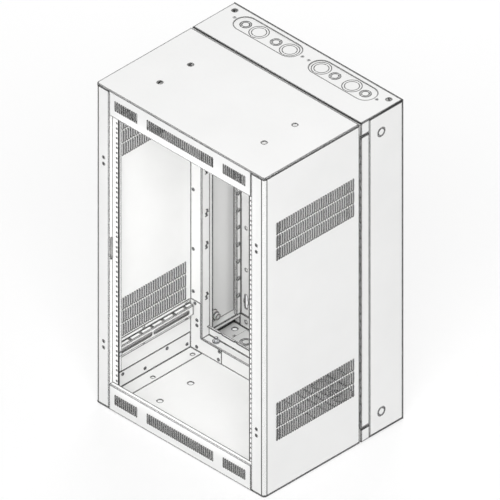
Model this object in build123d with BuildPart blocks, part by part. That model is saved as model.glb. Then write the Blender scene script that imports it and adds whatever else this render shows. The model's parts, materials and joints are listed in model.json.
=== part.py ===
from build123d import *
import os

# Swing-out wall mount rack for 19 inch equipment. Millimetres.
# X is right seen from the front, Y runs back to the wall, Z is up.
# The origin is the centre of the wall bolt pattern, on the wall plane.

# Overall sizes
rack_unit = 44.45
rack_units = 18
rail_end_margin = 1.6
bar_height = 76.2
width = 583.0
section_depth = 330.0
section_gap = 5.0
backbox_depth = 146.0

# Sheet metal
sheet = 1.9
rail_sheet = 2.7
light_sheet = 1.5
leaf_sheet = 1.2
bend = 2.4
front_corner = 9.5
seam = 0.4
cap_lip = 4.0

# Side panels with their front posts
post_width = 46.3
post_lip = 12.9
side_rear_flange = 24.0
door_hole_inset = 27.5
door_hole_radius = 3.0
door_holes_from_bottom = (175.8, 194.6)
door_holes_from_top = (210.8, 230.0)
strike_slot_height = 62.8
strike_slot_width = 6.0
strike_slot_from_edge = 3.9

# Vents
vent_slot_width = 3.6
vent_slot_height = 33.0
vent_slot_pitch = 7.94
vent_slots = 34
vent_behind_middle = 11.0
vent_row_pitch = 38.75
vent_rows = 3
vent_field_from_end = 208.3
bar_slot_width = 3.0
bar_slot_height = 27.0
bar_slot_pitch = 7.2
bar_slots_middle = 32
bar_slots_outer = 11
bar_slots_outer_inset = 58.2
bar_slot_from_end = 38.1

# Top and bottom panels
bar_return = 13.4
panel_hole_radius = 6.5
panel_hole_inset = 111.3
panel_hole_spacing_y = 106.2
panel_hole_setback = 164.3

# Rack rails
rail_setback = 13.9
rail_opening = 450.0
rail_hole_spacing_x = 465.1
rail_hole_radius = 2.4
rail_hole_steps = (6.35, 15.875, 15.875)
rail_leg = 56.0
rail_bolt_from_edge = 8.0
rail_end_overlap = 10.0
rail_running_gap = 0.3

# Rail supports
support_start = 41.6
support_rear_gap = 8.6
support_stand_off = 15.0
support_low = 107.0
support_high = 137.0
support_flange_up = 12.0
support_flange_down = 17.0
support_slot_width = 8.6
support_slot_length = 121.0
support_slot_web = 7.0
support_notches = 6
support_notch_pitch = 38.1
support_notch = 8.0
support_notch_shift = 22.0
rail_bolt_radius = 4.0
rail_bolt_head_radius = 7.0
rail_bolt_head = 4.0
rail_nut_thickness = 5.0
rail_bolt_gap = 0.2

# Angles that join the side panels to the top and bottom panels
angle_leg_up = 49.5
angle_leg_in = 42.0
angle_start = 20.0
angle_rear_gap = 18.0

# Rear frame of the centre section
frame_flange = 40.0
frame_neck_reach = 24.9
frame_step = 45.3
frame_web_behind = 21.0
frame_web_top = 73.0
frame_web_lip = 7.7
rail_notches = 9
rail_notch_length = 8.0
rail_notch_depth = 4.0
gusset_tall = 150.0
gusset_wide = 107.7
gusset_arm = 36.2
gusset_foot = 45.0
gusset_corner_gap = 3.0

# Lock bolts
lock_inset = 35.5
lock_behind = 11.0
lock_pin_radius = 4.0
lock_fit = 0.05
lock_hole_gap = 0.4
lock_collar_radius = 9.35
lock_collar_height = 4.0
lock_head_radius = 4.7
lock_head_height = 3.0
lock_travel = 6.0

# Continuous hinge on the right
knuckle_radius = 2.4
hinge_fit = 0.05
knuckles = 9
knuckle_gap = 0.4
leaf_inward = 26.0
hinge_end_gap = 0.8

# Backbox
pocket_depth = 28.8
tray_block = 38.0
tray_flange = 42.9
tray_ledge = 26.0
box_flange = 40.6
box_rear_flange = 22.0
knock_slot_radius = 29.3
knock_slot_inset = 84.5
knock_slot_inner = 53.0
knock_setback = 99.4
knock_plate_wide = 74.0
knock_plate_margin = 6.0
tray_hole_inset = 25.1
tray_hole_setback = 121.0
bushing_setback = 70.2
bushing_from_end = 59.7
bushing_hole_radius = 11.75
bushing_radius = 11.65
bushing_flange_radius = 14.0
bushing_flange = 2.0
bushing_neck_radius = 8.5
bushing_bore_radius = 5.5
bushing_body = 9.0
bushing_neck = 8.0

# Lacing strips inside the backbox
strip_inset = 24.2
strip_reach = 18.0
strip_lip = 7.4
strip_foot = 30.0
strip_end = 39.0
strip_hole_pitch = 51.0
strip_holes = 16
strip_hole_radius = 2.6

# Wall mounting
wall_slot_from_strip = 18.6
wall_slot_from_end = 80.8
wall_slot_length = 41.0
wall_slot_width = 9.0
wall_hole_spacing_x = 406.4
wall_hole_from_end = 96.85
wall_hole_radius = 5.5

# Places worked out from the sizes above
height = rack_units * rack_unit + 2 * rail_end_margin + 2 * bar_height
half_width = width / 2
half_height = height / 2
front = -(section_depth + section_gap + backbox_depth)
section_back = front + section_depth
box_front = -backbox_depth
mid_bend = bend - sheet / 2
opening_half = half_width - post_width
side_end = half_height - cap_lip - seam
frame_face = section_back - 2 * sheet
hinge_x = half_width - leaf_sheet + knuckle_radius
hinge_y = section_back + knuckle_radius
hinge_end = half_height - tray_flange - hinge_end_gap
wall_inside = half_width - sheet
support_face = wall_inside - support_stand_off
rail_bolt_y = front + rail_setback + rail_leg - rail_bolt_from_edge
frame_neck_at = half_width - frame_flange
lock_at = lock_inset - frame_neck_at
lock_y = section_back + lock_behind
knock_slot_outer = half_width - knock_slot_inset
knock_middle = (knock_slot_outer + knock_slot_inner) / 2
strip_web_at = half_width - strip_inset
wall_slot_at = strip_web_at - wall_slot_from_strip

os.makedirs("parts", exist_ok=True)


def name_of(side):
    return "left" if side < 0 else "right"


def level_of(level):
    return "lower" if level < 0 else "upper"


def from_front(distance):
    return front + distance


def from_end(level, distance):
    return level * (half_height - distance)


def facing_front(y):
    """A plane seen from the front at the given depth: local x is right and local y is up."""
    return Plane(origin=(0, y, 0), x_dir=(1, 0, 0), z_dir=(0, -1, 0))


def sheet_section(plane, corners, thickness, radius):
    """Section of a bent sheet, from the corner points of its middle line."""
    with BuildSketch(plane) as section:
        with BuildLine():
            if len(corners) > 2:
                FilletPolyline(*corners, radius=radius)
            else:
                Polyline(*corners)
        trace(line_width=thickness)
    return section.sketch


def save(piece, label):
    piece.part.label = label
    export_step(piece.part, "parts/" + label + ".step")


# Centre section


def make_side_panel(side):
    """One sheet: return lip, front post, rounded corner, side wall and rear flange."""
    wall_x = side * (half_width - sheet / 2)
    post_y = front + sheet / 2
    lip_x = side * (opening_half + sheet / 2)
    rear_y = section_back - sheet / 2
    corners = [
        (lip_x, from_front(post_lip)),
        (lip_x, post_y),
        (wall_x, post_y),
        (wall_x, rear_y),
        (side * (half_width - side_rear_flange), rear_y),
    ]
    radii = [mid_bend, front_corner - sheet / 2, mid_bend]
    vent_y = from_front(section_depth / 2 + vent_behind_middle)
    with BuildPart() as panel:
        section = sheet_section(Plane.XY.offset(-side_end), corners, sheet, radii)
        extrude(section, amount=2 * side_end)
        # door hinge holes through the post
        with BuildSketch(facing_front(front)):
            hole_x = side * (half_width - door_hole_inset)
            for level, distances in ((-1, door_holes_from_bottom), (1, door_holes_from_top)):
                for distance in distances:
                    with Locations((hole_x, from_end(level, distance))):
                        Circle(door_hole_radius)
        extrude(amount=-sheet, mode=Mode.SUBTRACT)
        # strike slot for the door latch in the return lip
        with BuildSketch(Plane.YZ.offset(side * opening_half - sheet)):
            with Locations((from_front(post_lip - strike_slot_from_edge), 0)):
                Rectangle(strike_slot_width, strike_slot_height)
        extrude(amount=2 * sheet, mode=Mode.SUBTRACT)
        # two fields of upright vent slots
        with BuildSketch(Plane.YZ.offset(side * half_width - sheet)):
            for level in (-1, 1):
                with Locations((vent_y, from_end(level, vent_field_from_end))):
                    with GridLocations(vent_slot_pitch, vent_row_pitch, vent_slots, vent_rows):
                        Rectangle(vent_slot_width, vent_slot_height)
        extrude(amount=2 * sheet, mode=Mode.SUBTRACT)
    save(panel, "side_panel_" + name_of(side))


def make_end_panel(level, label):
    """Shallow cap over the whole plan, with a slotted apron and its return at the front."""
    skin = from_end(level, 0)
    plan_y = (front + section_back) / 2
    apron_y = front + sheet / 2
    apron_half = opening_half - seam
    with BuildPart() as panel:
        with BuildSketch(Plane.XY.offset(skin)) as outline:
            with Locations((0, plan_y)):
                Rectangle(width, section_depth)
            fillet(outline.vertices().group_by(Axis.Y)[0], front_corner)
        extrude(amount=-level * cap_lip)
        rim = panel.faces().sort_by(Axis.Z)[-1 if level > 0 else 0]
        fillet(rim.edges(), bend)
        with BuildSketch(Plane.XY.offset(skin - level * sheet)) as hollow:
            with Locations((0, plan_y)):
                Rectangle(width - 2 * sheet, section_depth - 2 * sheet)
            fillet(hollow.vertices().group_by(Axis.Y)[0], front_corner - sheet)
        extrude(amount=-level * cap_lip, mode=Mode.SUBTRACT)
        corners = [
            (apron_y, skin - level * cap_lip / 2),
            (apron_y, from_end(level, bar_height) + level * sheet / 2),
            (from_front(bar_return), from_end(level, bar_height) + level * sheet / 2),
        ]
        apron = sheet_section(Plane.YZ.offset(-apron_half), corners, sheet, mid_bend)
        extrude(apron, amount=2 * apron_half)
        # upright slots in three groups across the apron
        with BuildSketch(facing_front(front)):
            slot_z = from_end(level, bar_slot_from_end)
            with Locations((0, slot_z)):
                with GridLocations(bar_slot_pitch, 1, bar_slots_middle, 1):
                    Rectangle(bar_slot_width, bar_slot_height)
            for side in (-1, 1):
                with Locations((side * (opening_half - bar_slots_outer_inset), slot_z)):
                    with GridLocations(bar_slot_pitch, 1, bar_slots_outer, 1):
                        Rectangle(bar_slot_width, bar_slot_height)
        extrude(amount=-sheet, mode=Mode.SUBTRACT)
        with BuildSketch(Plane.XY.offset(skin)):
            with Locations((0, from_front(panel_hole_setback))):
                with GridLocations(width - 2 * panel_hole_inset, panel_hole_spacing_y, 2, 2):
                    Circle(panel_hole_radius)
        extrude(amount=-level * sheet, mode=Mode.SUBTRACT)
    save(panel, label)


def rail_hole_heights():
    """Heights of the equipment holes, three to a rack unit, from the bottom up."""
    heights = []
    for unit in range(rack_units):
        z = (unit - rack_units / 2) * rack_unit
        for step in rail_hole_steps:
            z = z + step
            heights.append(z)
    return heights


def make_rack_rail(side):
    """Angle with the equipment screw holes on its face and a leg against the rail supports."""
    face_y = from_front(rail_setback) + rail_sheet / 2
    leg_x = side * (support_face - rail_running_gap - rail_sheet / 2)
    half_length = rack_units * rack_unit / 2 + rail_end_overlap
    corners = [
        (side * rail_opening / 2, face_y),
        (leg_x, face_y),
        (leg_x, from_front(rail_setback + rail_leg)),
    ]
    with BuildPart() as rail:
        section = sheet_section(Plane.XY.offset(-half_length), corners, rail_sheet, rail_sheet)
        extrude(section, amount=2 * half_length)
        # the first and last holes are round, and the many between them are left six-sided
        with BuildSketch(facing_front(from_front(rail_setback))):
            hole_x = side * rail_hole_spacing_x / 2
            heights = rail_hole_heights()
            with Locations((hole_x, heights[0]), (hole_x, heights[-1])):
                Circle(rail_hole_radius)
            for z in heights[1:-1]:
                with Locations((hole_x, z)):
                    RegularPolygon(rail_hole_radius, 6)
        extrude(amount=-rail_sheet, mode=Mode.SUBTRACT)
        with BuildSketch(Plane.YZ.offset(leg_x)):
            for level in (-1, 1):
                with Locations((rail_bolt_y, support_middle(level))):
                    Circle(rail_bolt_radius + rail_bolt_gap)
        extrude(amount=rail_sheet, both=True, mode=Mode.SUBTRACT)
    save(rail, "rack_rail_" + name_of(side))


def support_middle(level):
    return from_end(level, (support_low + support_high) / 2)


def make_rail_bolts(side):
    """Two bolts that clamp a rail: head on the rail's leg, nut inside the rail support."""
    leg_inside = support_face - rail_running_gap - rail_sheet
    nut_inside = support_face + light_sheet + rail_running_gap
    bolt_end = nut_inside + rail_nut_thickness + 1
    with BuildPart() as bolts:
        for level in (-1, 1):
            centre = (rail_bolt_y, support_middle(level))
            with BuildSketch(Plane.YZ.offset(side * (leg_inside - rail_bolt_head))):
                with Locations(centre):
                    RegularPolygon(rail_bolt_head_radius, 6)
            extrude(amount=side * rail_bolt_head)
            with BuildSketch(Plane.YZ.offset(side * leg_inside)):
                with Locations(centre):
                    Circle(rail_bolt_radius)
            extrude(amount=side * (bolt_end - leg_inside))
            with BuildSketch(Plane.YZ.offset(side * nut_inside)):
                with Locations(centre):
                    RegularPolygon(rail_bolt_head_radius, 6)
            extrude(amount=side * rail_nut_thickness)
    save(bolts, "rail_bolts_" + name_of(side))


def make_rail_support(side, level):
    """Hat channel on the side wall, with long slots for the rail bolts."""
    flange_x = side * (wall_inside - light_sheet / 2)
    face_x = side * (support_face + light_sheet / 2)
    high = from_end(level, support_high - light_sheet / 2)
    low = from_end(level, support_low + light_sheet / 2)
    corners = [
        (flange_x, from_end(level, support_high + support_flange_up)),
        (flange_x, high),
        (face_x, high),
        (face_x, low),
        (flange_x, low),
        (flange_x, from_end(level, support_low - support_flange_down)),
    ]
    start = from_front(support_start)
    length = section_depth - support_rear_gap - support_start
    middle_y = start + length / 2
    slot_step = support_slot_length + support_slot_web
    with BuildPart() as support:
        section = sheet_section(facing_front(start), corners, light_sheet, bend - light_sheet / 2)
        extrude(section, amount=-length)
        with BuildSketch(Plane.YZ.offset(face_x)):
            with Locations((middle_y, support_middle(level))):
                with GridLocations(slot_step, 1, 2, 1):
                    SlotOverall(support_slot_length, support_slot_width)
        extrude(amount=light_sheet, both=True, mode=Mode.SUBTRACT)
        with BuildSketch(Plane.XY.offset(high)):
            with Locations((side * (support_face + support_stand_off / 2), middle_y + support_notch_shift)):
                with GridLocations(1, support_notch_pitch, 1, support_notches):
                    Rectangle(support_notch, support_notch / 2)
        extrude(amount=light_sheet, both=True, mode=Mode.SUBTRACT)
    save(support, "rail_support_" + level_of(level) + "_" + name_of(side))


def make_panel_angle(side, level):
    """Angle that joins the side wall to the top or bottom panel."""
    upright_x = side * (wall_inside - sheet / 2)
    flat_z = from_end(level, 1.5 * sheet)
    corners = [
        (upright_x, from_end(level, angle_leg_up)),
        (upright_x, flat_z),
        (side * (wall_inside - angle_leg_in), flat_z),
    ]
    with BuildPart() as angle:
        section = sheet_section(facing_front(from_front(angle_start)), corners, sheet, mid_bend)
        extrude(section, amount=angle_start + angle_rear_gap - section_depth)
    save(angle, "panel_angle_" + level_of(level) + "_" + name_of(side))


def make_rear_frame(side):
    """Upright of the rear frame: a flange on the side panel and a neck that enters the backbox."""
    flange_y = frame_face + sheet / 2
    flange_edge = wall_inside - bend + sheet
    neck_x = side * (frame_neck_at + sheet / 2)
    corners = [
        (side * flange_edge, flange_y),
        (neck_x, flange_y),
        (neck_x, section_back + frame_neck_reach),
    ]
    neck_end = half_height - frame_step + sheet
    flange_end = half_height - sheet
    with BuildPart() as frame:
        section = sheet_section(Plane.XY.offset(-neck_end), corners, sheet, mid_bend)
        extrude(section, amount=2 * neck_end)
        with BuildSketch(facing_front(frame_face)):
            with Locations((side * (frame_neck_at + bend + flange_edge) / 2, 0)):
                Rectangle(flange_edge - frame_neck_at - bend, 2 * flange_end)
        extrude(amount=-sheet)
    save(frame, "rear_frame_" + name_of(side))


def make_rear_rail(level, label):
    """Cross rail of the rear frame: face, ledge for the lock bolt, web and slotted lip."""
    web_y = section_back + frame_web_behind + sheet / 2
    ledge_z = from_end(level, frame_step - sheet / 2)
    lip_z = from_end(level, frame_web_top - sheet / 2)
    half_length = frame_neck_at - seam
    corners = [
        (frame_face + sheet / 2, from_end(level, sheet)),
        (frame_face + sheet / 2, ledge_z),
        (web_y, ledge_z),
        (web_y, lip_z),
        (web_y - frame_web_lip, lip_z),
    ]
    with BuildPart() as rail:
        section = sheet_section(Plane.YZ.offset(-half_length), corners, sheet, mid_bend)
        extrude(section, amount=2 * half_length)
        with BuildSketch(Plane.XY.offset(ledge_z)):
            with Locations((lock_at, lock_y)):
                Circle(lock_pin_radius + lock_hole_gap)
        extrude(amount=sheet, both=True, mode=Mode.SUBTRACT)
        # notches for lacing along the lip
        with BuildSketch(Plane.XY.offset(lip_z)):
            with Locations((0, web_y - frame_web_lip)):
                with GridLocations(strip_hole_pitch, 1, rail_notches, 1):
                    Rectangle(rail_notch_length, rail_notch_depth)
        extrude(amount=sheet, both=True, mode=Mode.SUBTRACT)
    save(rail, label)


def make_gusset(side, level):
    """Flat L plate that ties an upright of the rear frame to its cross rail."""
    outer = side * (wall_inside - gusset_corner_gap / 3)
    foot = from_end(level, gusset_corner_gap)
    with BuildPart() as gusset:
        with BuildSketch(facing_front(frame_face - light_sheet)):
            with BuildLine():
                Polyline(
                    (outer, foot),
                    (outer, from_end(level, gusset_tall)),
                    (outer - side * gusset_arm, from_end(level, gusset_tall)),
                    (outer - side * gusset_arm, from_end(level, gusset_foot)),
                    (outer - side * gusset_wide, from_end(level, gusset_foot)),
                    (outer - side * gusset_wide, foot),
                    close=True,
                )
            make_face()
        extrude(amount=-light_sheet)
    save(gusset, "corner_gusset_" + level_of(level) + "_" + name_of(side))


def make_lock(level, word):
    """Lock bolt in its collar on the ledge. It is drawn up; pushed down it enters the backbox ledge."""
    ledge = from_end(level, frame_step)
    tip = from_end(level, frame_step - sheet)
    collar_top = from_end(level, frame_step + lock_collar_height)
    head_base = from_end(level, frame_step + lock_collar_height + lock_travel + seam)
    inward = -level
    with BuildPart() as collar:
        with BuildSketch(Plane.XY.offset(ledge)):
            with Locations((lock_at, lock_y)):
                Circle(lock_collar_radius)
                Circle(lock_pin_radius + lock_fit, mode=Mode.SUBTRACT)
        extrude(amount=collar_top - ledge)
    save(collar, "lock_collar_" + word)
    with BuildPart() as pin:
        with BuildSketch(Plane.XY.offset(tip)):
            with Locations((lock_at, lock_y)):
                Circle(lock_pin_radius)
        extrude(amount=head_base - tip)
        with BuildSketch(Plane.XY.offset(head_base)):
            with Locations((lock_at, lock_y)):
                Circle(lock_head_radius)
        extrude(amount=inward * lock_head_height)
    save(pin, "lock_bolt_" + word)


# Continuous hinge


def knuckle_lows(first):
    """Lower ends of every second knuckle, from the bottom of the hinge."""
    pitch = 2 * hinge_end / knuckles
    return [-hinge_end + index * pitch for index in range(first, knuckles, 2)]


def hinge_ring(low, radius):
    """A disc about the hinge axis at the given height."""
    with BuildSketch(Plane.XY.offset(low)) as disc:
        with Locations((hinge_x, hinge_y)):
            Circle(radius)
    return disc.sketch


def hinge_window(low):
    """A square about the hinge axis, as wide as a knuckle and its running gap."""
    with BuildSketch(Plane.XY.offset(low)) as window:
        with Locations((hinge_x, hinge_y)):
            Rectangle(2 * (knuckle_radius + knuckle_gap), 2 * (knuckle_radius + knuckle_gap))
    return window.sketch


def make_leaf(leaf, first, label):
    """Notches a leaf for the other leaf's knuckles, then adds its own knuckles and bores them."""
    pitch = 2 * hinge_end / knuckles
    bore = hinge_ring(-hinge_end, knuckle_radius - leaf_sheet + hinge_fit)
    with BuildPart() as hinge_leaf:
        extrude(leaf, amount=2 * hinge_end)
        for low in knuckle_lows(1 - first):
            window = hinge_window(low - knuckle_gap / 2)
            extrude(window, amount=pitch + knuckle_gap, mode=Mode.SUBTRACT)
        for low in knuckle_lows(first):
            tube = hinge_ring(low + knuckle_gap / 2, knuckle_radius)
            extrude(tube, amount=pitch - knuckle_gap)
        extrude(bore, amount=2 * hinge_end, mode=Mode.SUBTRACT)
    save(hinge_leaf, label)


def make_hinge():
    """Two leaves with interleaved knuckles on one pin."""
    outer_x = half_width - leaf_sheet / 2
    leg_y = box_front + pocket_depth - leaf_sheet / 2
    inner_x = half_width - leaf_inward
    box_corners = [(outer_x, hinge_y), (outer_x, leg_y), (inner_x, leg_y)]
    box_leaf = sheet_section(Plane.XY.offset(-hinge_end), box_corners, leaf_sheet, leaf_sheet)
    make_leaf(box_leaf, 0, "hinge_leaf_backbox")
    leaf_y = section_back + leaf_sheet / 2
    section_leaf = sheet_section(Plane.XY.offset(-hinge_end), [(inner_x, leaf_y), (hinge_x, leaf_y)], leaf_sheet, 0)
    make_leaf(section_leaf, 1, "hinge_leaf_section")
    with BuildPart() as pin:
        extrude(hinge_ring(-hinge_end, knuckle_radius - leaf_sheet), amount=2 * hinge_end)
    save(pin, "hinge_pin")


# Backbox


def make_tray(level, label):
    """Top or bottom of the backbox: skin, corner blocks, back flange, front wall and its ledge."""
    skin = from_end(level, 0)
    lip_end = from_end(level, cap_lip)
    plan_y = (box_front - sheet) / 2
    front_y = box_front + sheet / 2
    ledge_z = from_end(level, tray_flange - sheet / 2)
    side_cut = box_rear_flange + seam
    cut_start = box_front + pocket_depth - seam
    ledge_corners = [
        (front_y, from_end(level, tray_block / 2)),
        (front_y, ledge_z),
        (front_y + tray_ledge, ledge_z),
    ]
    with BuildPart() as tray:
        with BuildSketch(Plane.XY.offset(skin)):
            with Locations((0, plan_y)):
                Rectangle(width, backbox_depth - sheet)
        extrude(amount=-level * tray_block)
        rim = tray.faces().sort_by(Axis.Z)[-1 if level > 0 else 0]
        fillet(rim.edges(), bend)
        with BuildSketch(Plane.XY.offset(skin - level * sheet)):
            with Locations((0, plan_y)):
                Rectangle(width - 2 * sheet, backbox_depth - 3 * sheet)
        extrude(amount=-level * tray_block, mode=Mode.SUBTRACT)
        # behind the corner blocks only a short lip is left over each side wall
        with BuildSketch(Plane.XY.offset(lip_end)):
            for side in (-1, 1):
                with Locations((side * (half_width - side_cut / 2), cut_start / 2)):
                    Rectangle(side_cut, -cut_start)
        extrude(amount=-level * tray_block, mode=Mode.SUBTRACT)
        ledge = sheet_section(Plane.YZ.offset(-wall_inside), ledge_corners, sheet, mid_bend)
        extrude(ledge, amount=2 * wall_inside)
        with BuildSketch(Plane.XY.offset(skin)):
            for side in (-1, 1):
                with Locations((side * knock_middle, box_front + knock_setback)):
                    SlotCenterToCenter(knock_slot_outer - knock_slot_inner, 2 * knock_slot_radius)
                with Locations((side * (half_width - tray_hole_inset), box_front + tray_hole_setback)):
                    Circle(panel_hole_radius)
        extrude(amount=-level * sheet, mode=Mode.SUBTRACT)
        with BuildSketch(Plane.XY.offset(ledge_z)):
            with Locations((lock_at, lock_y)):
                Circle(lock_pin_radius + lock_hole_gap)
        extrude(amount=sheet, both=True, mode=Mode.SUBTRACT)
    save(tray, label)


def make_knockout_plate(side, level, word):
    """Plate behind an obround opening of the tray, for the cable knockouts."""
    length = knock_slot_outer - knock_slot_inner + 2 * knock_slot_radius + 2 * knock_plate_margin
    with BuildPart() as plate:
        with BuildSketch(Plane.XY.offset(from_end(level, sheet))):
            with Locations((side * knock_middle, box_front + knock_setback)):
                Rectangle(length, knock_plate_wide)
        extrude(amount=-level * light_sheet)
    save(plate, "knockout_plate_" + word + "_" + name_of(side))


def make_box_side(side):
    """Side wall of the backbox, turned in at the front and at the back."""
    front_y = box_front + pocket_depth + sheet / 2
    wall_x = side * (half_width - sheet / 2)
    corners = [
        (side * (half_width - box_flange), front_y),
        (wall_x, front_y),
        (wall_x, -1.5 * sheet),
        (side * (half_width - box_rear_flange), -1.5 * sheet),
    ]
    with BuildPart() as wall:
        section = sheet_section(Plane.XY.offset(-side_end), corners, sheet, mid_bend)
        extrude(section, amount=2 * side_end)
        if side < 0:
            with BuildSketch(Plane.YZ.offset(wall_x)):
                with Locations((box_front + bushing_setback, from_end(-1, bushing_from_end))):
                    Circle(bushing_hole_radius)
            extrude(amount=sheet, both=True, mode=Mode.SUBTRACT)
    save(wall, "backbox_side_" + name_of(side))


def make_back_panel():
    """Flat panel against the wall, with the mounting slots and the stud holes."""
    with BuildPart() as panel:
        with BuildSketch(facing_front(0)):
            Rectangle(width, height)
            with GridLocations(wall_hole_spacing_x, 2 * (half_height - wall_hole_from_end), 2, 2):
                Circle(wall_hole_radius, mode=Mode.SUBTRACT)
            with GridLocations(2 * wall_slot_at, 2 * (half_height - wall_slot_from_end), 2, 2):
                SlotOverall(wall_slot_length, wall_slot_width, rotation=90, mode=Mode.SUBTRACT)
        extrude(amount=sheet)
    save(panel, "back_panel")


def make_lacing_strip(side):
    """Z strip for tying cables, fixed to the back panel beside each side wall."""
    foot_y = -sheet - light_sheet / 2
    corners = [
        (side * (strip_web_at - strip_foot), foot_y),
        (side * strip_web_at, foot_y),
        (side * strip_web_at, -strip_reach),
        (side * (strip_web_at + strip_lip), -strip_reach),
    ]
    half_length = half_height - strip_end
    with BuildPart() as strip:
        section = sheet_section(Plane.XY.offset(-half_length), corners, light_sheet, bend - light_sheet / 2)
        extrude(section, amount=2 * half_length)
        with BuildSketch(Plane.YZ.offset(side * strip_web_at)):
            with Locations(((foot_y - strip_reach) / 2, 0)):
                with GridLocations(1, strip_hole_pitch, 1, strip_holes):
                    RegularPolygon(strip_hole_radius, 6)
        extrude(amount=light_sheet, both=True, mode=Mode.SUBTRACT)
        with BuildSketch(facing_front(-sheet)):
            with Locations((side * wall_slot_at, 0)):
                with GridLocations(1, 2 * (half_height - wall_slot_from_end), 1, 2):
                    SlotOverall(wall_slot_length, wall_slot_width, rotation=90)
        extrude(amount=light_sheet, mode=Mode.SUBTRACT)
    save(strip, "lacing_strip_" + name_of(side))


def make_bushing():
    """Stepped cable bushing in the lower left side wall, turned about its own axis."""
    axis_y = box_front + bushing_setback
    outside = -half_width
    body_end = outside + sheet + bushing_body
    neck_end = body_end + bushing_neck
    with BuildPart() as bushing:
        with BuildSketch(Plane(origin=(0, axis_y, from_end(-1, bushing_from_end)), x_dir=(1, 0, 0), z_dir=(0, -1, 0))):
            with BuildLine():
                Polyline(
                    (outside - bushing_flange, bushing_bore_radius),
                    (outside - bushing_flange, bushing_flange_radius),
                    (outside, bushing_flange_radius),
                    (outside, bushing_radius),
                    (body_end, bushing_radius),
                    (body_end, bushing_neck_radius),
                    (neck_end, bushing_neck_radius),
                    (neck_end, bushing_bore_radius),
                    close=True,
                )
            make_face()
        revolve(axis=Axis((0, axis_y, from_end(-1, bushing_from_end)), (1, 0, 0)))
    save(bushing, "cable_bushing")


for side in (-1, 1):
    make_side_panel(side)
    make_rack_rail(side)
    make_rail_bolts(side)
    make_rear_frame(side)
    make_box_side(side)
    make_lacing_strip(side)
    for level in (-1, 1):
        make_rail_support(side, level)
        make_panel_angle(side, level)
        make_gusset(side, level)
        make_knockout_plate(side, level, "bottom" if level < 0 else "top")

for level, word in ((1, "top"), (-1, "bottom")):
    make_end_panel(level, word + "_panel")
    make_rear_rail(level, "rear_rail_" + word)
    make_lock(level, word)
    make_tray(level, "backbox_tray_" + word)

make_hinge()
make_back_panel()
make_bushing()
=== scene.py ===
import json

import bpy
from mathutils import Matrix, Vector


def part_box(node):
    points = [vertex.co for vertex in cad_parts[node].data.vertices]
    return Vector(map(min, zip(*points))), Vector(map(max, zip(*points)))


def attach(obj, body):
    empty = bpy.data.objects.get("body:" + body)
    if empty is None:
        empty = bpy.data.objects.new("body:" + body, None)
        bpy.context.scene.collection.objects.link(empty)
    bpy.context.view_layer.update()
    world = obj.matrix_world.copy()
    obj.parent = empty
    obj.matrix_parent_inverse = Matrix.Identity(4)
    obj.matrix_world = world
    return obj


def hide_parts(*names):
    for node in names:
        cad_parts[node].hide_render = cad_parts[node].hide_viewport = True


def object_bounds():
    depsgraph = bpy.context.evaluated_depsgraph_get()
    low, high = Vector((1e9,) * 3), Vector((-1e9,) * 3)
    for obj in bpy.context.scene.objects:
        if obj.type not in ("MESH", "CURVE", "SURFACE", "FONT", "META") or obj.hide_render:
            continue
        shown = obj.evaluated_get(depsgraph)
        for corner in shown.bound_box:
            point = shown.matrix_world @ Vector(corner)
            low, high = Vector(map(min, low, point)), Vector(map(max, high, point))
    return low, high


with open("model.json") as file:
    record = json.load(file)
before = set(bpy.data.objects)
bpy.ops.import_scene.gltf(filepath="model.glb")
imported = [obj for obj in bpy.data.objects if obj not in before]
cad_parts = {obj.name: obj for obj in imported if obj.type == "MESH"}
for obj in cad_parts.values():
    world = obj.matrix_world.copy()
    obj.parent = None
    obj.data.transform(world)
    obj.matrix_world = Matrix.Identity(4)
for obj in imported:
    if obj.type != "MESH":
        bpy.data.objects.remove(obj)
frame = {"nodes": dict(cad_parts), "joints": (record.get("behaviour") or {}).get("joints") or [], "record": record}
cad_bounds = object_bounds()
mm = 0.001

# View and studio
# The rack is drawn in isometric view, so the camera is orthographic and looks down one
# corner. The floor is a plain pale sheet close under the rack, and the light is soft. Sizes
# here are in metres unless they say mm, and the lamps' powers are in watts.
picture_px = 500
px_per_mm = 0.40899
view_centre = Vector((0, -238.7, 0.3)) * mm
view_from = Vector((1, -1, 1)).normalized()
camera_distance = 5
camera_reach = 20
plain_white = (1, 1, 1, 1)
room_light = 0.54
lamp_aim = (0, -0.24, 0)
lamp_size = 2.4
front_lamp_at = (2.3, -2.8, 2.9)
front_lamp_power = 112
back_lamp_at = (-2.4, 2.6, 1.8)
back_lamp_power = 60
mouth_card_at = (0, -0.5, 0)
mouth_card_aim = (0, 0, 0)
mouth_card_width = 0.44
mouth_card_height = 0.8
mouth_card_power = 1.1
floor_size = 12
floor_drop = 2 * mm
floor_white = (0.97, 0.97, 0.97, 1)
floor_glow = 0.55
floor_roughness = 0.9

camera_data = bpy.data.cameras.new("camera")
camera_data.type = "ORTHO"
camera_data.ortho_scale = picture_px / px_per_mm * mm
camera_data.clip_end = camera_reach
camera = bpy.data.objects.new("camera", camera_data)
camera.location = view_centre + view_from * camera_distance
camera.rotation_euler = view_from.to_track_quat("Z", "Y").to_euler()
bpy.context.scene.collection.objects.link(camera)
bpy.context.scene.camera = camera
bpy.context.scene.view_settings.view_transform = "Standard"


def deselect_all():
    bpy.ops.object.select_all(action="DESELECT")


def soft_lamp(name, place, aim, size, power):
    """A square area lamp that points from its place to the aim."""
    lamp = bpy.data.lights.new(name, "AREA")
    lamp.size = size
    lamp.energy = power
    holder = bpy.data.objects.new(name, lamp)
    holder.location = place
    holder.rotation_euler = (Vector(place) - Vector(aim)).to_track_quat("Z", "Y").to_euler()
    bpy.context.scene.collection.objects.link(holder)
    return lamp


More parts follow.
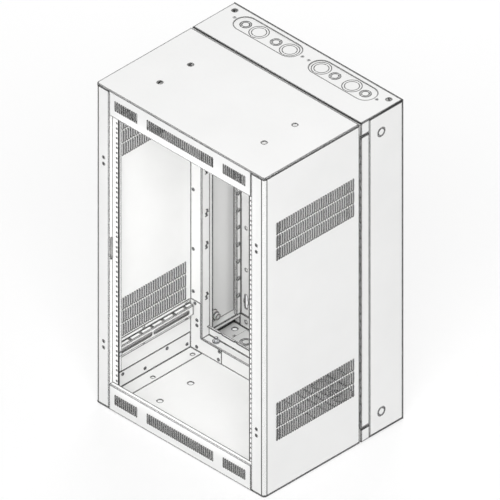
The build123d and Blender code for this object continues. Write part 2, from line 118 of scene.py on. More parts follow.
def white_where_seen(tree, shader, amount):
    """Mixes plain white into what the camera and reflections see, and leaves the light alone."""
    nodes, links = tree.nodes, tree.links
    path = nodes.new("ShaderNodeLightPath")
    reflected = nodes.new("ShaderNodeMath")
    reflected.operation = "MAXIMUM"
    seen = nodes.new("ShaderNodeMath")
    seen.operation = "MAXIMUM"
    links.new(path.outputs["Is Glossy Ray"], reflected.inputs[0])
    links.new(path.outputs["Is Transmission Ray"], reflected.inputs[1])
    links.new(path.outputs["Is Camera Ray"], seen.inputs[0])
    links.new(reflected.outputs[0], seen.inputs[1])
    share = nodes.new("ShaderNodeMath")
    share.operation = "MULTIPLY"
    share.inputs[1].default_value = amount
    links.new(seen.outputs[0], share.inputs[0])
    plain = nodes.new("ShaderNodeEmission")
    plain.inputs["Color"].default_value = plain_white
    mix = nodes.new("ShaderNodeMixShader")
    links.new(share.outputs[0], mix.inputs[0])
    links.new(shader.outputs[0], mix.inputs[1])
    links.new(plain.outputs[0], mix.inputs[2])
    return mix


world = bpy.data.worlds.new("studio")
world.use_nodes = True
bpy.context.scene.world = world
ambient = world.node_tree.nodes["Background"]
ambient.inputs["Color"].default_value = plain_white
ambient.inputs["Strength"].default_value = room_light
world_mix = white_where_seen(world.node_tree, ambient, 1.0)
world.node_tree.links.new(world_mix.outputs[0], world.node_tree.nodes["World Output"].inputs["Surface"])

soft_lamp("lamp_front", front_lamp_at, lamp_aim, lamp_size, front_lamp_power)
soft_lamp("lamp_back", back_lamp_at, lamp_aim, lamp_size, back_lamp_power)
# a weak card of light across the mouth of the rack lifts the inside to its own colour
mouth_card = soft_lamp("lamp_mouth", mouth_card_at, mouth_card_aim, mouth_card_width, mouth_card_power)
mouth_card.shape = "RECTANGLE"
mouth_card.size_y = mouth_card_height

deselect_all()
bpy.ops.mesh.primitive_plane_add(size=floor_size, location=(0, 0, cad_bounds[0][2] - floor_drop))
floor = bpy.context.object
floor.name = "floor"
bpy.ops.object.transform_apply(location=True)
floor_paint = bpy.data.materials.new("floor_paint")
floor_paint.use_nodes = True
floor_tree = floor_paint.node_tree
floor_shader = floor_tree.nodes["Principled BSDF"]
floor_shader.inputs["Base Color"].default_value = floor_white
floor_shader.inputs["Roughness"].default_value = floor_roughness
floor_mix = white_where_seen(floor_tree, floor_shader, floor_glow)
floor_tree.links.new(floor_mix.outputs[0], floor_tree.nodes["Material Output"].inputs["Surface"])
floor.data.materials.append(floor_paint)

# Powder-coated sheet steel
# All the panels and brackets are folded steel sheet with a baked powder coat. The coat has a
# fine grain. Along the sharp edges, and at both ends of the wide front bends, it is rubbed
# off in handling and the dark steel shows. Among the vent slots the rub is narrower.
paint_white = (0.85, 0.85, 0.845, 1)
paint_bracket = (0.84, 0.84, 0.835, 1)
rubbed_steel = (0.006, 0.006, 0.006, 1)
rub_width = 5.2 * mm
fine_rub = 4.3 * mm
rub_samples = 8
rub_begins = 0.997
rub_is_full = 0.9915
paint_grain = 900
bracket_grain = 1100
grain_detail = 2
grain_strength = 0.12
grain_height = 0.3 * mm
mottle_scale = 9
mottle_detail = 4
mottle_range = (0.96, 1.03)
paint_roughness = (0.48, 0.66)
mark_width = 3.0 * mm
mark_reach = 1 * mm
past_top = 1
front_corner = 9.5 * mm
corner_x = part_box("side_panel_right")[1].x
corner_y = -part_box("side_panel_right")[0].y
# boxes on the positive side of each axis, which stand for their mirror images too
vent_field = ((200 * mm, 175 * mm, 200 * mm), (300 * mm, 460 * mm, 350 * mm))
bar_field = ((0, 475 * mm, 415 * mm), (240 * mm, 485 * mm, 462 * mm))
corner_marks = (
    ((corner_x - front_corner - mark_width / 2, corner_y - mark_reach, 0),
     (corner_x - front_corner + mark_width / 2, corner_y + mark_reach, past_top)),
    ((corner_x - mark_reach, corner_y - front_corner - mark_width / 2, 0),
     (corner_x + mark_reach, corner_y - front_corner + mark_width / 2, past_top)),
)


def powder_coat(name, colour, grain, edge_width, fine_box=None, marks=()):
    """Matt textured paint: grain in bump and roughness, slight mottle, dark rubbed edges."""
    paint = bpy.data.materials.new(name)
    paint.use_nodes = True
    nodes, links = paint.node_tree.nodes, paint.node_tree.links
    shader = nodes["Principled BSDF"]
    place = nodes.new("ShaderNodeTexCoord")
    fine = nodes.new("ShaderNodeTexNoise")
    fine.inputs["Scale"].default_value = grain
    fine.inputs["Detail"].default_value = grain_detail
    broad = nodes.new("ShaderNodeTexNoise")
    broad.inputs["Scale"].default_value = mottle_scale
    broad.inputs["Detail"].default_value = mottle_detail
    links.new(place.outputs["Object"], fine.inputs["Vector"])
    links.new(place.outputs["Object"], broad.inputs["Vector"])
    mottle = nodes.new("ShaderNodeMapRange")
    mottle.inputs["To Min"].default_value = mottle_range[0]
    mottle.inputs["To Max"].default_value = mottle_range[1]
    links.new(broad.outputs["Fac"], mottle.inputs["Value"])
    tint = nodes.new("ShaderNodeMix")
    tint.data_type = "RGBA"
    tint.blend_type = "MULTIPLY"
    tint.inputs["Factor"].default_value = 1
    tint.inputs["A"].default_value = colour
    links.new(mottle.outputs[0], tint.inputs["B"])
    worn = nodes.new("ShaderNodeMix")
    worn.data_type = "RGBA"
    worn.inputs["B"].default_value = rubbed_steel
    links.new(rubbed_edges(paint.node_tree, edge_width, fine_box, marks), worn.inputs["Factor"])
    links.new(tint.outputs["Result"], worn.inputs["A"])
    links.new(worn.outputs["Result"], shader.inputs["Base Color"])
    rough = nodes.new("ShaderNodeMapRange")
    rough.inputs["To Min"].default_value = paint_roughness[0]
    rough.inputs["To Max"].default_value = paint_roughness[1]
    links.new(fine.outputs["Fac"], rough.inputs["Value"])
    links.new(rough.outputs[0], shader.inputs["Roughness"])
    bump = nodes.new("ShaderNodeBump")
    bump.inputs["Strength"].default_value = grain_strength
    bump.inputs["Distance"].default_value = grain_height
    links.new(fine.outputs["Fac"], bump.inputs["Height"])
    links.new(bump.outputs[0], shader.inputs["Normal"])
    return paint


def math_node(tree, operation, first, second):
    """The result of one sum on two sockets, or on a socket and a number."""
    node = tree.nodes.new("ShaderNodeMath")
    node.operation = operation
    tree.links.new(first, node.inputs[0])
    if isinstance(second, float):
        node.inputs[1].default_value = second
    else:
        tree.links.new(second, node.inputs[1])
    return node.outputs[0]


def inside_box(tree, low, high):
    """A mask that is one inside a box and its mirror images."""
    place = tree.nodes.new("ShaderNodeTexCoord")
    mirrored = tree.nodes.new("ShaderNodeVectorMath")
    mirrored.operation = "ABSOLUTE"
    tree.links.new(place.outputs["Object"], mirrored.inputs[0])
    from_low = tree.nodes.new("ShaderNodeVectorMath")
    from_low.operation = "SUBTRACT"
    from_low.inputs[1].default_value = low
    tree.links.new(mirrored.outputs[0], from_low.inputs[0])
    to_high = tree.nodes.new("ShaderNodeVectorMath")
    to_high.operation = "SUBTRACT"
    to_high.inputs[0].default_value = high
    tree.links.new(mirrored.outputs[0], to_high.inputs[1])
    least = tree.nodes.new("ShaderNodeVectorMath")
    least.operation = "MINIMUM"
    tree.links.new(from_low.outputs[0], least.inputs[0])
    tree.links.new(to_high.outputs[0], least.inputs[1])
    split = tree.nodes.new("ShaderNodeSeparateXYZ")
    tree.links.new(least.outputs[0], split.inputs[0])
    least_two = math_node(tree, "MINIMUM", split.outputs[0], split.outputs[1])
    least_three = math_node(tree, "MINIMUM", least_two, split.outputs[2])
    return math_node(tree, "GREATER_THAN", least_three, 0.0)


def rubbed_edges(tree, width, fine_box=None, marks=()):
    """A mask along sharp edges, where the rounded normal leaves the flat one, and on the marks."""
    rounded = tree.nodes.new("ShaderNodeBevel")
    rounded.samples = rub_samples
    rounded.inputs["Radius"].default_value = width
    if fine_box:
        radius = tree.nodes.new("ShaderNodeMapRange")
        radius.inputs["To Min"].default_value = width
        radius.inputs["To Max"].default_value = fine_rub
        tree.links.new(inside_box(tree, *fine_box), radius.inputs["Value"])
        tree.links.new(radius.outputs[0], rounded.inputs["Radius"])
    flat = tree.nodes.new("ShaderNodeNewGeometry")
    agree = tree.nodes.new("ShaderNodeVectorMath")
    agree.operation = "DOT_PRODUCT"
    tree.links.new(rounded.outputs[0], agree.inputs[0])
    tree.links.new(flat.outputs["True Normal"], agree.inputs[1])
    edge = tree.nodes.new("ShaderNodeMapRange")
    edge.inputs["From Min"].default_value = rub_begins
    edge.inputs["From Max"].default_value = rub_is_full
    edge.inputs["To Min"].default_value = 0
    edge.inputs["To Max"].default_value = 1
    tree.links.new(agree.outputs["Value"], edge.inputs["Value"])
    mask = edge.outputs[0]
    for box in marks:
        mask = math_node(tree, "MAXIMUM", mask, inside_box(tree, *box))
    return mask


def finish_nodes(material, names):
    """Gives a finish to carried-over nodes of the frame."""
    for name in names:
        slots = frame["nodes"][name].data.materials
        slots.clear()
        slots.append(material)


white_coat = powder_coat("white_powder_coat", paint_white, paint_grain, rub_width)
side_coat = powder_coat("side_powder_coat", paint_white, paint_grain, rub_width, vent_field, corner_marks)
cap_coat = powder_coat("cap_powder_coat", paint_white, paint_grain, rub_width, bar_field)
bracket_coat = powder_coat("bracket_powder_coat", paint_bracket, bracket_grain, rub_width)
slot_of = {entry["node"]: entry["material_slot"] for entry in frame["record"]["subparts"]}
coated_slots = ("powder_coat", "rail_coat")
finish_nodes(white_coat, [node for node, slot in slot_of.items() if slot in coated_slots])
finish_nodes(bracket_coat, [node for node, slot in slot_of.items() if slot == "inner_coat"])
finish_nodes(side_coat, ["side_panel_left", "side_panel_right"])
finish_nodes(cap_coat, ["top_panel", "bottom_panel"])

# Zinc-plated steel
# Rivets, bolts, the lock bolts with their collars and the hinge pin are plain steel with a
# bright zinc plating, faintly cloudy, and dark where a tool or a neighbour has rubbed it.
zinc_grey = (0.80, 0.81, 0.82, 1)
zinc_cloud = (0.68, 0.69, 0.71, 1)
zinc_metallic = 0.7
zinc_rub = 3.2 * mm
zinc_cloud_scale = 260
zinc_cloud_detail = 5
zinc_roughness = (0.28, 0.46)
zinc_grain_strength = 0.08
zinc_grain_height = 0.1 * mm

zinc = bpy.data.materials.new("zinc_plating")
zinc.use_nodes = True
zinc_nodes, zinc_links = zinc.node_tree.nodes, zinc.node_tree.links
zinc_shader = zinc_nodes["Principled BSDF"]
zinc_shader.inputs["Metallic"].default_value = zinc_metallic
zinc_place = zinc_nodes.new("ShaderNodeTexCoord")
zinc_noise = zinc_nodes.new("ShaderNodeTexNoise")
zinc_noise.inputs["Scale"].default_value = zinc_cloud_scale
zinc_noise.inputs["Detail"].default_value = zinc_cloud_detail
zinc_links.new(zinc_place.outputs["Object"], zinc_noise.inputs["Vector"])
zinc_tint = zinc_nodes.new("ShaderNodeMix")
zinc_tint.data_type = "RGBA"
zinc_tint.inputs["A"].default_value = zinc_cloud
zinc_tint.inputs["B"].default_value = zinc_grey
zinc_links.new(zinc_noise.outputs["Fac"], zinc_tint.inputs["Factor"])
zinc_worn = zinc_nodes.new("ShaderNodeMix")
zinc_worn.data_type = "RGBA"
zinc_worn.inputs["B"].default_value = rubbed_steel
zinc_links.new(rubbed_edges(zinc.node_tree, zinc_rub), zinc_worn.inputs["Factor"])
zinc_links.new(zinc_tint.outputs["Result"], zinc_worn.inputs["A"])
zinc_links.new(zinc_worn.outputs["Result"], zinc_shader.inputs["Base Color"])
zinc_rough = zinc_nodes.new("ShaderNodeMapRange")
zinc_rough.inputs["To Min"].default_value = zinc_roughness[0]
zinc_rough.inputs["To Max"].default_value = zinc_roughness[1]
zinc_links.new(zinc_noise.outputs["Fac"], zinc_rough.inputs["Value"])
zinc_links.new(zinc_rough.outputs[0], zinc_shader.inputs["Roughness"])
zinc_bump = zinc_nodes.new("ShaderNodeBump")
zinc_bump.inputs["Strength"].default_value = zinc_grain_strength
zinc_bump.inputs["Distance"].default_value = zinc_grain_height
zinc_links.new(zinc_noise.outputs["Fac"], zinc_bump.inputs["Height"])
zinc_links.new(zinc_bump.outputs[0], zinc_shader.inputs["Normal"])
finish_nodes(zinc, [node for node, slot in slot_of.items() if slot == "zinc_steel"])

# Backbox trays
# The top and bottom of the backbox are deep folded trays. Sunk screws through their skins
# hold the knockout plates, and each back flange has a hole by either end.
half_height = cad_bounds[1].z
screw_at = (246 * mm, 10.9 * mm)
screw_y = -46.4 * mm
screw_radius = 2.4 * mm
screw_depth = 1.4 * mm
screw_head = 0.9 * mm
screw_gap = 0.2 * mm
flange_hole_x = 248.7 * mm
flange_hole_from_end = 20.4 * mm
flange_hole_radius = 4 * mm
tray_back = -1.9 * mm
sheet = 1.9 * mm
round_sides = 24
merge_gap = 0.002 * mm
squarely = 0.9
up = Vector((0, 0, 1))
right = Vector((1, 0, 0))
forward = Vector((0, -1, 0))
hands = ((-1, "left"), (1, "right"))
tray_ends = ((1, "top"), (-1, "bottom"))


def activate(piece):
    """Selects one piece alone, ready for an operator."""
    deselect_all()
    piece.select_set(True)
    bpy.context.view_layer.objects.active = piece


def select_faces(piece, wanted):
    """In edit mode, selects just the faces whose centre and normal are wanted."""
    if bpy.context.mode == "OBJECT":
        activate(piece)
        bpy.ops.object.mode_set(mode="EDIT")
    bpy.ops.mesh.select_mode(type="FACE")
    bpy.ops.mesh.select_all(action="DESELECT")
    bpy.ops.object.mode_set(mode="OBJECT")
    for face in piece.data.polygons:
        face.select = wanted(face.center, face.normal)
    bpy.ops.object.mode_set(mode="EDIT")


def joined(parts, name):
    """Joins the parts into one object."""
    activate(parts[0])
    for part in parts:
        part.select_set(True)
    if len(parts) > 1:
        bpy.ops.object.join()
    parts[0].name = name
    parts[0].data.name = name
    return parts[0]


def block(low, high):
    """A block between its lowest and highest corners."""
    low, high = Vector(low), Vector(high)
    deselect_all()
    bpy.ops.mesh.primitive_cube_add(size=1, location=(low + high) / 2)
    solid = bpy.context.object
    solid.scale = high - low
    bpy.ops.object.transform_apply(location=True, rotation=True, scale=True)
    return solid


def disc(place, facing, radius, thickness, sides=round_sides):
    """A round bar that ends half its thickness each side of the place."""
    deselect_all()
    turn = Vector(facing).to_track_quat("Z", "Y").to_euler()
    bpy.ops.mesh.primitive_cylinder_add(
        vertices=sides, radius=radius, depth=thickness, location=place, rotation=turn)
    bpy.ops.object.transform_apply(location=True, rotation=True, scale=True)
    return bpy.context.object


def ring(place, facing, radius, wall, thickness, sides=round_sides):
    """A tube of the given wall: both ends of a round bar are inset and bridged through."""
    facing = Vector(facing)
    tube = disc(place, facing, radius, thickness, sides)
    select_faces(tube, lambda centre, normal: abs(normal.dot(facing)) > squarely)
    bpy.ops.mesh.inset(thickness=wall, use_even_offset=True)
    bpy.ops.mesh.bridge_edge_loops()
    bpy.ops.object.mode_set(mode="OBJECT")
    return tube


def copy_of_node(node, name):
    """A free copy of a frame node, with its loose triangles merged into closed skins."""
    copy = bpy.data.objects.new(name, frame["nodes"][node].data.copy())
    copy.data.name = name
    bpy.context.scene.collection.objects.link(copy)
    activate(copy)
    bpy.ops.object.mode_set(mode="EDIT")
    bpy.ops.mesh.select_all(action="SELECT")
    bpy.ops.mesh.remove_doubles(threshold=merge_gap)
    bpy.ops.object.mode_set(mode="OBJECT")
    return copy


def cut(piece, cutter):
    """Cuts the piece with the cutter, which is used up."""
    activate(piece)
    difference = piece.modifiers.new("cut", "BOOLEAN")
    difference.operation = "DIFFERENCE"
    difference.solver = "EXACT"
    difference.object = cutter
    bpy.ops.object.modifier_apply(modifier=difference.name)
    bpy.data.objects.remove(cutter)
    return piece


def fit_in(piece, material, body, node=None):
    """Gives a finished piece its finish and its body, and hides the frame node that it stands for."""
    piece.data.materials.clear()
    piece.data.materials.append(material)
    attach(piece, body)
    if node:
        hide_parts(node)
    return piece


for level, word in tray_ends:
    tray = copy_of_node("backbox_tray_" + word, "tray_drilled_" + word)
    drills = []
    heads = []
    for side in (-1, 1):
        for distance in screw_at:
            seat = Vector((side * distance, screw_y, level * half_height))
            drills.append(disc(seat, up, screw_radius, 2 * screw_depth))
            middle = seat - level * up * (screw_depth - screw_head / 2)
            head = disc(middle, up, screw_radius - screw_gap, screw_head)
            heads.append(head)
        hole_z = level * (half_height - flange_hole_from_end)
        hole = Vector((side * flange_hole_x, tray_back - sheet / 2, hole_z))
        drills.append(disc(hole, forward, flange_hole_radius, 2 * sheet))
    cut(tray, joined(drills, "drills"))
    fit_in(tray, white_coat, "backbox", "backbox_tray_" + word)
    fit_in(joined(heads, "plate_screws_" + word), zinc, "backbox")

# Cable knockout plates
# Behind each long round-ended opening of the trays lies a light plate with four knockouts,
# each with two round slits, one in the other. Short tabs that aren't sheared hold it in.
knock_y = -46.6 * mm
knock_sides = 36
plate_rub = 1.9 * mm
plate_coat = powder_coat("plate_powder_coat", paint_bracket, bracket_grain, plate_rub)
# each knockout: its place from the middle, the radii of its slits and the width of the slits
knockouts = (
    (206.9 * mm, (15.0 * mm, 10.5 * mm), 1.6 * mm),
    (160.6 * mm, (25.5 * mm, 19.0 * mm), 0.7 * mm),
    (101.8 * mm, (15.0 * mm, 10.5 * mm), 1.6 * mm),
    (55.0 * mm, (25.5 * mm, 19.0 * mm), 0.7 * mm),
)
tab_width = 2.4 * mm

for word in ("top", "bottom"):
    for side, hand in hands:
        node = "knockout_plate_" + word + "_" + hand
        low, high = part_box(node)
        middle_z = (low.z + high.z) / 2
        depth = 2 * (high.z - low.z)
        slits = []
        tabs = []
        for distance, radii, slit in knockouts:
            centre = Vector((side * distance, knock_y, middle_z))
            for radius in radii:
                slits.append(ring(centre, up, radius, slit, depth, knock_sides))
            reach = Vector((tab_width / 2, radii[0] + slit, depth))
            tabs.append(block(centre - reach, centre + reach))
        slits = cut(joined(slits, "slits"), joined(tabs, "tabs"))
        plate = cut(block(low, high), slits)
        plate.name = "knockouts_" + word + "_" + hand
        fit_in(plate, plate_coat, "backbox", node)

# Backbox side walls
# Each side wall is one folded sheet with a round knockout near either end. Only the lower
# one on the left is open, for the cable bushing, so no slit is cut there.
side_knock_y = -75.8 * mm
side_knock_from_end = 59.7 * mm
side_knock_radius = 11.75 * mm
side_slit = 0.9 * mm

for side, hand in hands:
    wall = copy_of_node("backbox_side_" + hand, "side_wall_" + hand)
    wall_x = side * (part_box("backbox_side_right")[1].x - sheet / 2)
    levels = (1,) if side < 0 else (-1, 1)
    slits = []
    for level in levels:
        centre = Vector((wall_x, side_knock_y, level * (half_height - side_knock_from_end)))
        slit_ring = ring(centre, right, side_knock_radius, side_slit, 2 * sheet, knock_sides)
        reach = Vector((2 * sheet, tab_width / 2, side_knock_radius + side_slit))
        slits.append(cut(slit_ring, block(centre - reach, centre + reach)))
    cut(wall, joined(slits, "slits"))
    fit_in(wall, white_coat, "backbox", "backbox_side_" + hand)

# Backbox side ledges
# Inside each side wall, near either end, a narrow folded ledge runs from the mouth of the
# tray to its back flange. It is spot-welded to the wall, and its lip turns towards the tray.
ledge_width = 22 * mm
ledge_from_end = 38 * mm
ledge_lip = 10 * mm
wall_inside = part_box("backbox_side_right")[1].x - sheet
ledge_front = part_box("backbox_side_right")[0].y + sheet
ledge_back = tray_back - sheet

for level, word in tray_ends:
    for side, hand in hands:
        faces = (half_height - ledge_from_end, half_height - ledge_from_end - sheet)
        heights = sorted(level * face for face in faces)
        across = sorted((side * wall_inside, side * (wall_inside - ledge_width)))
        flat = block((across[0], ledge_front, heights[0]), (across[1], ledge_back, heights[1]))
        lip_faces = (side * (wall_inside - ledge_width), side * (wall_inside - ledge_width + sheet))
        lip_x = sorted(lip_faces)
        select_faces(flat, lambda centre, normal: normal.z * level > squarely)
        bpy.ops.mesh.bisect(plane_co=(lip_faces[1], 0, 0), plane_no=(1, 0, 0))
        select_faces(flat, lambda centre, normal:
                     normal.z * level > squarely and lip_x[0] < centre.x < lip_x[1])
        bpy.ops.mesh.extrude_region_move(TRANSFORM_OT_translate={"value": (0, 0, level * ledge_lip)})
        bpy.ops.object.mode_set(mode="OBJECT")
        flat.name = "side_ledge_" + word + "_" + hand
        fit_in(flat, bracket_coat, "backbox")

# Cable bushing
# A stepped bushing sits in the open hole low in the left side wall, where a cable would
# pass. It is moulded in pale grey nylon, which lets a little light in.
bushing_grey = (0.78, 0.78, 0.77, 1)
nylon_rub = 2.6 * mm
nylon_glow = 0.08
nylon_grain = 420
nylon_roughness = (0.42, 0.55)

nylon = bpy.data.materials.new("bushing_nylon")
nylon.use_nodes = True
nylon_nodes, nylon_links = nylon.node_tree.nodes, nylon.node_tree.links
nylon_shader = nylon_nodes["Principled BSDF"]
nylon_shader.inputs["Subsurface Weight"].default_value = nylon_glow
nylon_place = nylon_nodes.new("ShaderNodeTexCoord")
nylon_noise = nylon_nodes.new("ShaderNodeTexNoise")
nylon_noise.inputs["Scale"].default_value = nylon_grain
nylon_links.new(nylon_place.outputs["Object"], nylon_noise.inputs["Vector"])
nylon_tint = nylon_nodes.new("ShaderNodeMix")
nylon_tint.data_type = "RGBA"
nylon_tint.inputs["A"].default_value = bushing_grey
nylon_tint.inputs["B"].default_value = rubbed_steel
nylon_links.new(rubbed_edges(nylon.node_tree, nylon_rub), nylon_tint.inputs["Factor"])
nylon_links.new(nylon_tint.outputs["Result"], nylon_shader.inputs["Base Color"])
nylon_rough = nylon_nodes.new("ShaderNodeMapRange")
nylon_rough.inputs["To Min"].default_value = nylon_roughness[0]
nylon_rough.inputs["To Max"].default_value = nylon_roughness[1]
nylon_links.new(nylon_noise.outputs["Fac"], nylon_rough.inputs["Value"])
nylon_links.new(nylon_rough.outputs[0], nylon_shader.inputs["Roughness"])
finish_nodes(nylon, ["cable_bushing"])

# Lacing strips
# A light Z strip along each side of the backbox holds cable ties. Its web has a row of
# round holes, and its foot has screw holes and a widened slot over each wall slot.
strip_hole_pitch = 51 * mm
strip_holes = 16
strip_hole_radius = 4.2 * mm
strip_hole_sides = 16
strip_web_x = 267.3 * mm
foot_holes_from_end = (176.1 * mm, 301.2 * mm)
foot_hole_radius = 3.6 * mm
keyhole_from_end = 80.8 * mm
keyhole_radius = 7.5 * mm
light_sheet = 1.5 * mm

for side, hand in hands:
    node = "lacing_strip_" + hand
    low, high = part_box(node)
    foot_y = high.y - light_sheet / 2
    web_x = side * strip_web_x
    web_y = (low.y + high.y - 2 * light_sheet) / 2
    drills = []
    for index in range(strip_holes):
        z = (index - (strip_holes - 1) / 2) * strip_hole_pitch
        drills.append(disc((web_x, web_y, z), right, strip_hole_radius, 3 * light_sheet, strip_hole_sides))
    for level in (-1, 1):
        for distance in foot_holes_from_end:
            place = (side * flange_hole_x, foot_y, level * (half_height - distance))
            drills.append(disc(place, forward, foot_hole_radius, 2 * light_sheet))
        place = (side * flange_hole_x, foot_y, level * (half_height - keyhole_from_end))
        drills.append(disc(place, forward, keyhole_radius, 2 * light_sheet))
    strip = cut(copy_of_node(node, "strip_" + hand), joined(drills, "drills"))
    fit_in(strip, bracket_coat, "backbox", node)

# Continuous hinge
# Two light leaves run nearly the whole height on the right, with many short knuckles rolled
# from their edges. The knuckles are taken in turn on one long pin.
hinge_axis = next(Vector(joint["pos_m"]) for joint in frame["joints"] if joint["name"] == "section_swing")
hinge_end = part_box("hinge_pin")[1].z
leaf_sheet = 1.2 * mm
knuckle_radius = 2.4 * mm
knuckle_wall = 1.1 * mm
knuckle_gap = 0.5 * mm
knuckle_count = 35
knuckle_pitch = 2 * hinge_end / knuckle_count
knuckle_clear = 0.4 * mm
knuckle_sides = 16


def knuckles(first, finger_low, finger_high):
    """Every second knuckle, each with the finger of sheet that joins it to its leaf."""
    parts = []
    for index in range(first, knuckle_count, 2):
        low_z = -hinge_end + index * knuckle_pitch + knuckle_gap / 2
        high_z = low_z + knuckle_pitch - knuckle_gap
        centre = Vector((hinge_axis.x, hinge_axis.y, (low_z + high_z) / 2))
        parts.append(ring(centre, up, knuckle_radius, knuckle_wall, high_z - low_z, knuckle_sides))
        parts.append(block((*finger_low, low_z), (*finger_high, high_z)))
    return parts


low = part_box("hinge_leaf_section")[0]
leaf_y = (low.y, low.y + leaf_sheet)
leaf_edge = hinge_axis.x - knuckle_radius - knuckle_clear
section_leaf = knuckles(1, (leaf_edge, leaf_y[0]), (hinge_axis.x, leaf_y[0] + knuckle_wall))
section_leaf.append(block((low.x, leaf_y[0], -hinge_end), (leaf_edge, leaf_y[1], hinge_end)))
section_leaf = joined(section_leaf, "hinge_section_knuckled")
fit_in(section_leaf, white_coat, "centre_section", "hinge_leaf_section")

low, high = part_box("hinge_leaf_backbox")
outer_x = hinge_axis.x - knuckle_radius
leaf_front = hinge_axis.y + knuckle_radius + knuckle_clear
box_leaf = knuckles(0, (outer_x, hinge_axis.y), (outer_x + knuckle_wall, leaf_front))
box_leaf.append(block((outer_x, leaf_front, -hinge_end), (outer_x + leaf_sheet, high.y, hinge_end)))
box_leaf.append(block((low.x, high.y - leaf_sheet, -hinge_end), (outer_x, high.y, hinge_end)))
box_leaf = joined(box_leaf, "hinge_backbox_knuckled")
fit_in(box_leaf, white_coat, "backbox", "hinge_leaf_backbox")

# Rear frame of the centre section
# Two folded uprights carry the neck that enters the backbox. Blind rivets fix their flanges
# to the side panels, and small bridges lanced from the neck take cable ties.
rivet_radius = 5 * mm
rivet_height = 1.6 * mm
rivet_hollow = 1.7 * mm
rivet_round = 0.8 * rivet_height
rivet_hollow_depth = 0.6 * rivet_height
rivet_sides = 20
dead_level = 0.99
flange_rivet_x = 280 * mm
flange_rivet_z = (-304.85 * mm, -178.15 * mm, 0, 178.15 * mm, 304.85 * mm)
bridge_y = -139 * mm
bridge_z = (-311.85 * mm, -159.95 * mm, -63.55 * mm, 63.55 * mm, 159.95 * mm, 311.85 * mm)
bridge_length = 10 * mm
bridge_width = 5 * mm
bridge_rise = 5 * mm
bridge_wall = 1.6 * mm
bridge_pair = Vector((0, 1.5 * mm, 5.5 * mm))


def blind_rivet():
    """A low domed head with the small hollow that the drawn mandrel leaves."""
    head = disc((0, 0, rivet_height / 2), up, rivet_radius, rivet_height, rivet_sides)
    select_faces(head, lambda centre, normal: normal.z > squarely)
    bpy.ops.mesh.bevel(offset=rivet_round, segments=2, affect="EDGES")
    select_faces(head, lambda centre, normal: normal.z > dead_level)
    bpy.ops.mesh.inset(thickness=rivet_radius - rivet_round - rivet_hollow)
    bpy.ops.mesh.extrude_region_move(TRANSFORM_OT_translate={"value": (0, 0, -rivet_hollow_depth)})
    bpy.ops.object.mode_set(mode="OBJECT")
    return head


def set_out(pattern, places, facing, name):
    """Copies the pattern to each place, turned to face the given way, and joins the copies."""
    turn = Vector(facing).to_track_quat("Z", "Y").to_euler()
    copies = []
    for place in places:
        copy = bpy.data.objects.new(name, pattern.data.copy())
        copy.location = place
        copy.rotation_euler = turn
        bpy.context.scene.collection.objects.link(copy)
        copies.append(copy)
    row = joined(copies, name)
    bpy.ops.object.transform_apply(location=True, rotation=True, scale=True)
    return row


rivet = blind_rivet()
bridge = ring((0, 0, 0), right, bridge_length / 2, bridge_wall, bridge_width)
bridge.scale = (1, 1, 2 * bridge_rise / bridge_length)
bpy.ops.object.transform_apply(scale=True)
select_faces(bridge, lambda centre, normal: True)
bpy.ops.mesh.bisect(plane_co=(0, 0, 0), plane_no=(0, 0, -1), clear_outer=True, use_fill=True)
bpy.ops.object.mode_set(mode="OBJECT")

flange_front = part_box("rear_frame_left")[0].y
for side, hand in hands:
    places = [Vector((side * flange_rivet_x, flange_front, z)) for z in flange_rivet_z]
    fit_in(set_out(rivet, places, forward, "frame_rivets_" + hand), zinc, "centre_section")
    neck_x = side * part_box("rear_frame_right")[0].x
    places = [Vector((neck_x, bridge_y, z)) + way * bridge_pair for z in bridge_z for way in (-1, 1)]
    bridges = set_out(bridge, places, -side * right, "tie_bridges_" + hand)
    fit_in(bridges, bracket_coat, "centre_section")
bpy.data.objects.remove(bridge)

# Corner gussets
# Four flat L plates tie the uprights to the cross rails. Each is held by six blind rivets.
gusset_rivets = (
    (272.7 * mm, 141.2 * mm),
    (265.8 * mm, 93.8 * mm),
    (265.8 * mm, 78.3 * mm),
    (266.8 * mm, 13.9 * mm),
    (188.4 * mm, 38.1 * mm),
    (191.5 * mm, 13.0 * mm),
)
ends = ((-1, "lower"), (1, "upper"))
gusset_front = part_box("corner_gusset_lower_left")[0].y

for level, word in ends:
    for side, hand in hands:
        places = [Vector((side * x, gusset_front, level * (half_height - up_from_end)))
                  for x, up_from_end in gusset_rivets]
        row = set_out(rivet, places, forward, "gusset_rivets_" + word + "_" + hand)
        fit_in(row, zinc, "centre_section")

# Panel angles
# Four angles join the side panels to the top and bottom panels, from the front up to the
# gussets. Rivets fix the upright leg, and the flat leg has three round holes.
front_y = cad_bounds[0].y
angle_rivets = ((90 * mm, 39 * mm), (167 * mm, 18 * mm), (243 * mm, 39.7 * mm), (312 * mm, 17.7 * mm))
angle_holes_at = (31 * mm, 168 * mm, 305 * mm)
angle_hole_x = 261.6 * mm
angle_hole_radius = 4.5 * mm
angle_gap = 0.4 * mm
angle_end = gusset_front - angle_gap
flat_leg_from_end = 1.5 * sheet

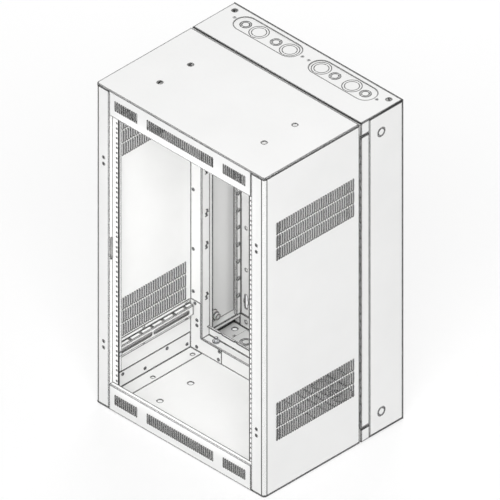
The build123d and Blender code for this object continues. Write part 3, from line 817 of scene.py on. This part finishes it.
for level, word in ends:
    for side, hand in hands:
        node = "panel_angle_" + word + "_" + hand
        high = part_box(node)[1]
        drills = []
        for setback in angle_holes_at:
            place = (side * angle_hole_x, front_y + setback, level * (half_height - flat_leg_from_end))
            drills.append(disc(place, up, angle_hole_radius, 2 * sheet))
        angle = copy_of_node(node, "angle_" + word + "_" + hand)
        select_faces(angle, lambda centre, normal: normal.y > squarely)
        bpy.ops.transform.translate(value=(0, angle_end - high.y, 0))
        bpy.ops.object.mode_set(mode="OBJECT")
        cut(angle, joined(drills, "drills"))
        fit_in(angle, bracket_coat, "centre_section", node)
        leg_face = side * (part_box("panel_angle_lower_right")[1].x - sheet)
        places = [Vector((leg_face, front_y + setback, level * (half_height - from_end)))
                  for setback, from_end in angle_rivets if front_y + setback < angle_end]
        row = set_out(rivet, places, -side * right, "angle_rivets_" + word + "_" + hand)
        fit_in(row, zinc, "centre_section")

# Rail supports
# A light hat channel runs along each side wall, near the top and near the bottom. Its long
# slots take the bolts of the rack rails, and rivets hold its flanges to the wall.
support_holes_at = (163 * mm, 310 * mm)
support_hole_from_end = 144 * mm
support_hole_radius = 3 * mm
support_rivets_at = (163 * mm, 310 * mm)
support_rivet_from_end = 97 * mm

for level, word in ends:
    for side, hand in hands:
        node = "rail_support_" + word + "_" + hand
        flange_x = side * (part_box("rail_support_lower_right")[1].x - light_sheet / 2)
        drills = []
        for setback in support_holes_at:
            place = (flange_x, front_y + setback, level * (half_height - support_hole_from_end))
            drills.append(disc(place, right, support_hole_radius, 2 * light_sheet))
        support = cut(copy_of_node(node, "support_" + word + "_" + hand), joined(drills, "drills"))
        fit_in(support, bracket_coat, "centre_section", node)
        flange_face = flange_x - side * light_sheet / 2
        places = [Vector((flange_face, front_y + setback, level * (half_height - support_rivet_from_end)))
                  for setback in support_rivets_at]
        row = set_out(rivet, places, -side * right, "support_rivets_" + word + "_" + hand)
        fit_in(row, zinc, "centre_section")
bpy.data.objects.remove(rivet)

# Rack rails
# Two thick angles carry the equipment. Their faces have a tapped round hole at each of the
# three places of every rack unit, and their inner edges are rubbed where equipment slides in.
rack_unit = 44.45 * mm
rack_units = 18
hole_steps = (6.35 * mm, 15.875 * mm, 15.875 * mm)
rail_hole_x = 232.55 * mm
rail_hole_radius = 2.5 * mm
rail_hole_sides = 14
rail_sheet = 2.7 * mm
rail_rub = 2.2 * mm
rail_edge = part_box("rack_rail_right")[0]
rail_edge_rub = 3.6 * mm
rail_marks = (
    ((rail_edge.x - mark_reach, -rail_edge.y - rail_sheet, 0),
     (rail_edge.x + rail_edge_rub, -rail_edge.y + mark_reach, past_top)),
)
rail_coat = powder_coat("rail_powder_coat", paint_white, paint_grain, rail_rub, None, rail_marks)

for side, hand in hands:
    node = "rack_rail_" + hand
    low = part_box(node)[0]
    drills = []
    for unit in range(rack_units):
        z = (unit - rack_units / 2) * rack_unit
        for step in hole_steps:
            z = z + step
            place = (side * rail_hole_x, low.y + rail_sheet / 2, z)
            drills.append(disc(place, forward, rail_hole_radius, 2 * rail_sheet, rail_hole_sides))
    rail = cut(copy_of_node(node, "rail_" + hand), joined(drills, "drills"))
    fit_in(rail, rail_coat, "rail_" + hand, node)
